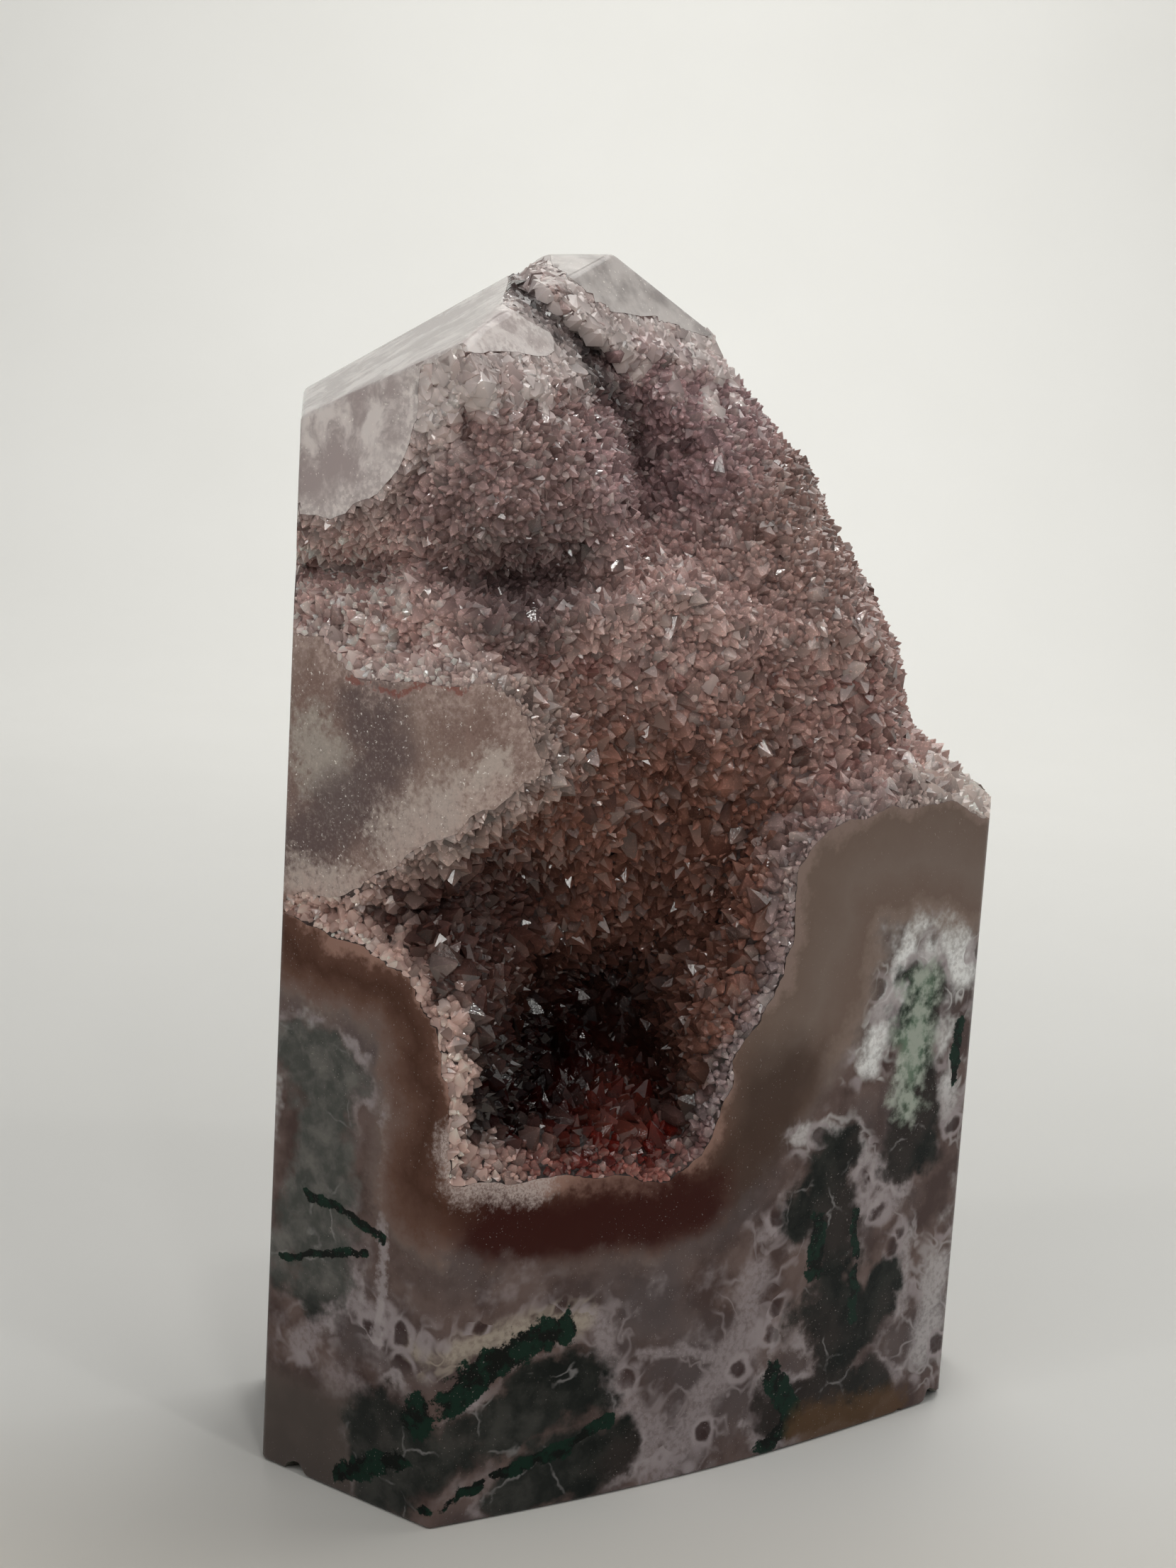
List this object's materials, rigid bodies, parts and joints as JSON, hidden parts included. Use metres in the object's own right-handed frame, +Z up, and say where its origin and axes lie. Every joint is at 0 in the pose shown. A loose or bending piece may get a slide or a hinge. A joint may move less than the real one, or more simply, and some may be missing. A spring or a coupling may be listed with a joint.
{
  "type": "amethyst tower",
  "caption": "Free-standing polished quartz point with a crystal-lined hollow across its front corner and an open crystal slope at its upper right.",
  "frame": {"origin": "middle of the bounding box's bottom face, where the flat base rests", "axes": "+Z up along the tower, -Y towards the front corner and the hollow, +X to the right seen from the front"},
  "size_m": [0.0688, 0.0576, 0.1101],
  "materials": {
    "polished_quartz": "polished, banded mauve, brown, grey and green",
    "druse_crystals": "clear to rosy brown crystal points, glassy"
  },
  "bodies": {
    "root": {"polished_stone": "polished_quartz", "crystal_crust": "druse_crystals"}
  },
  "joints": []
}
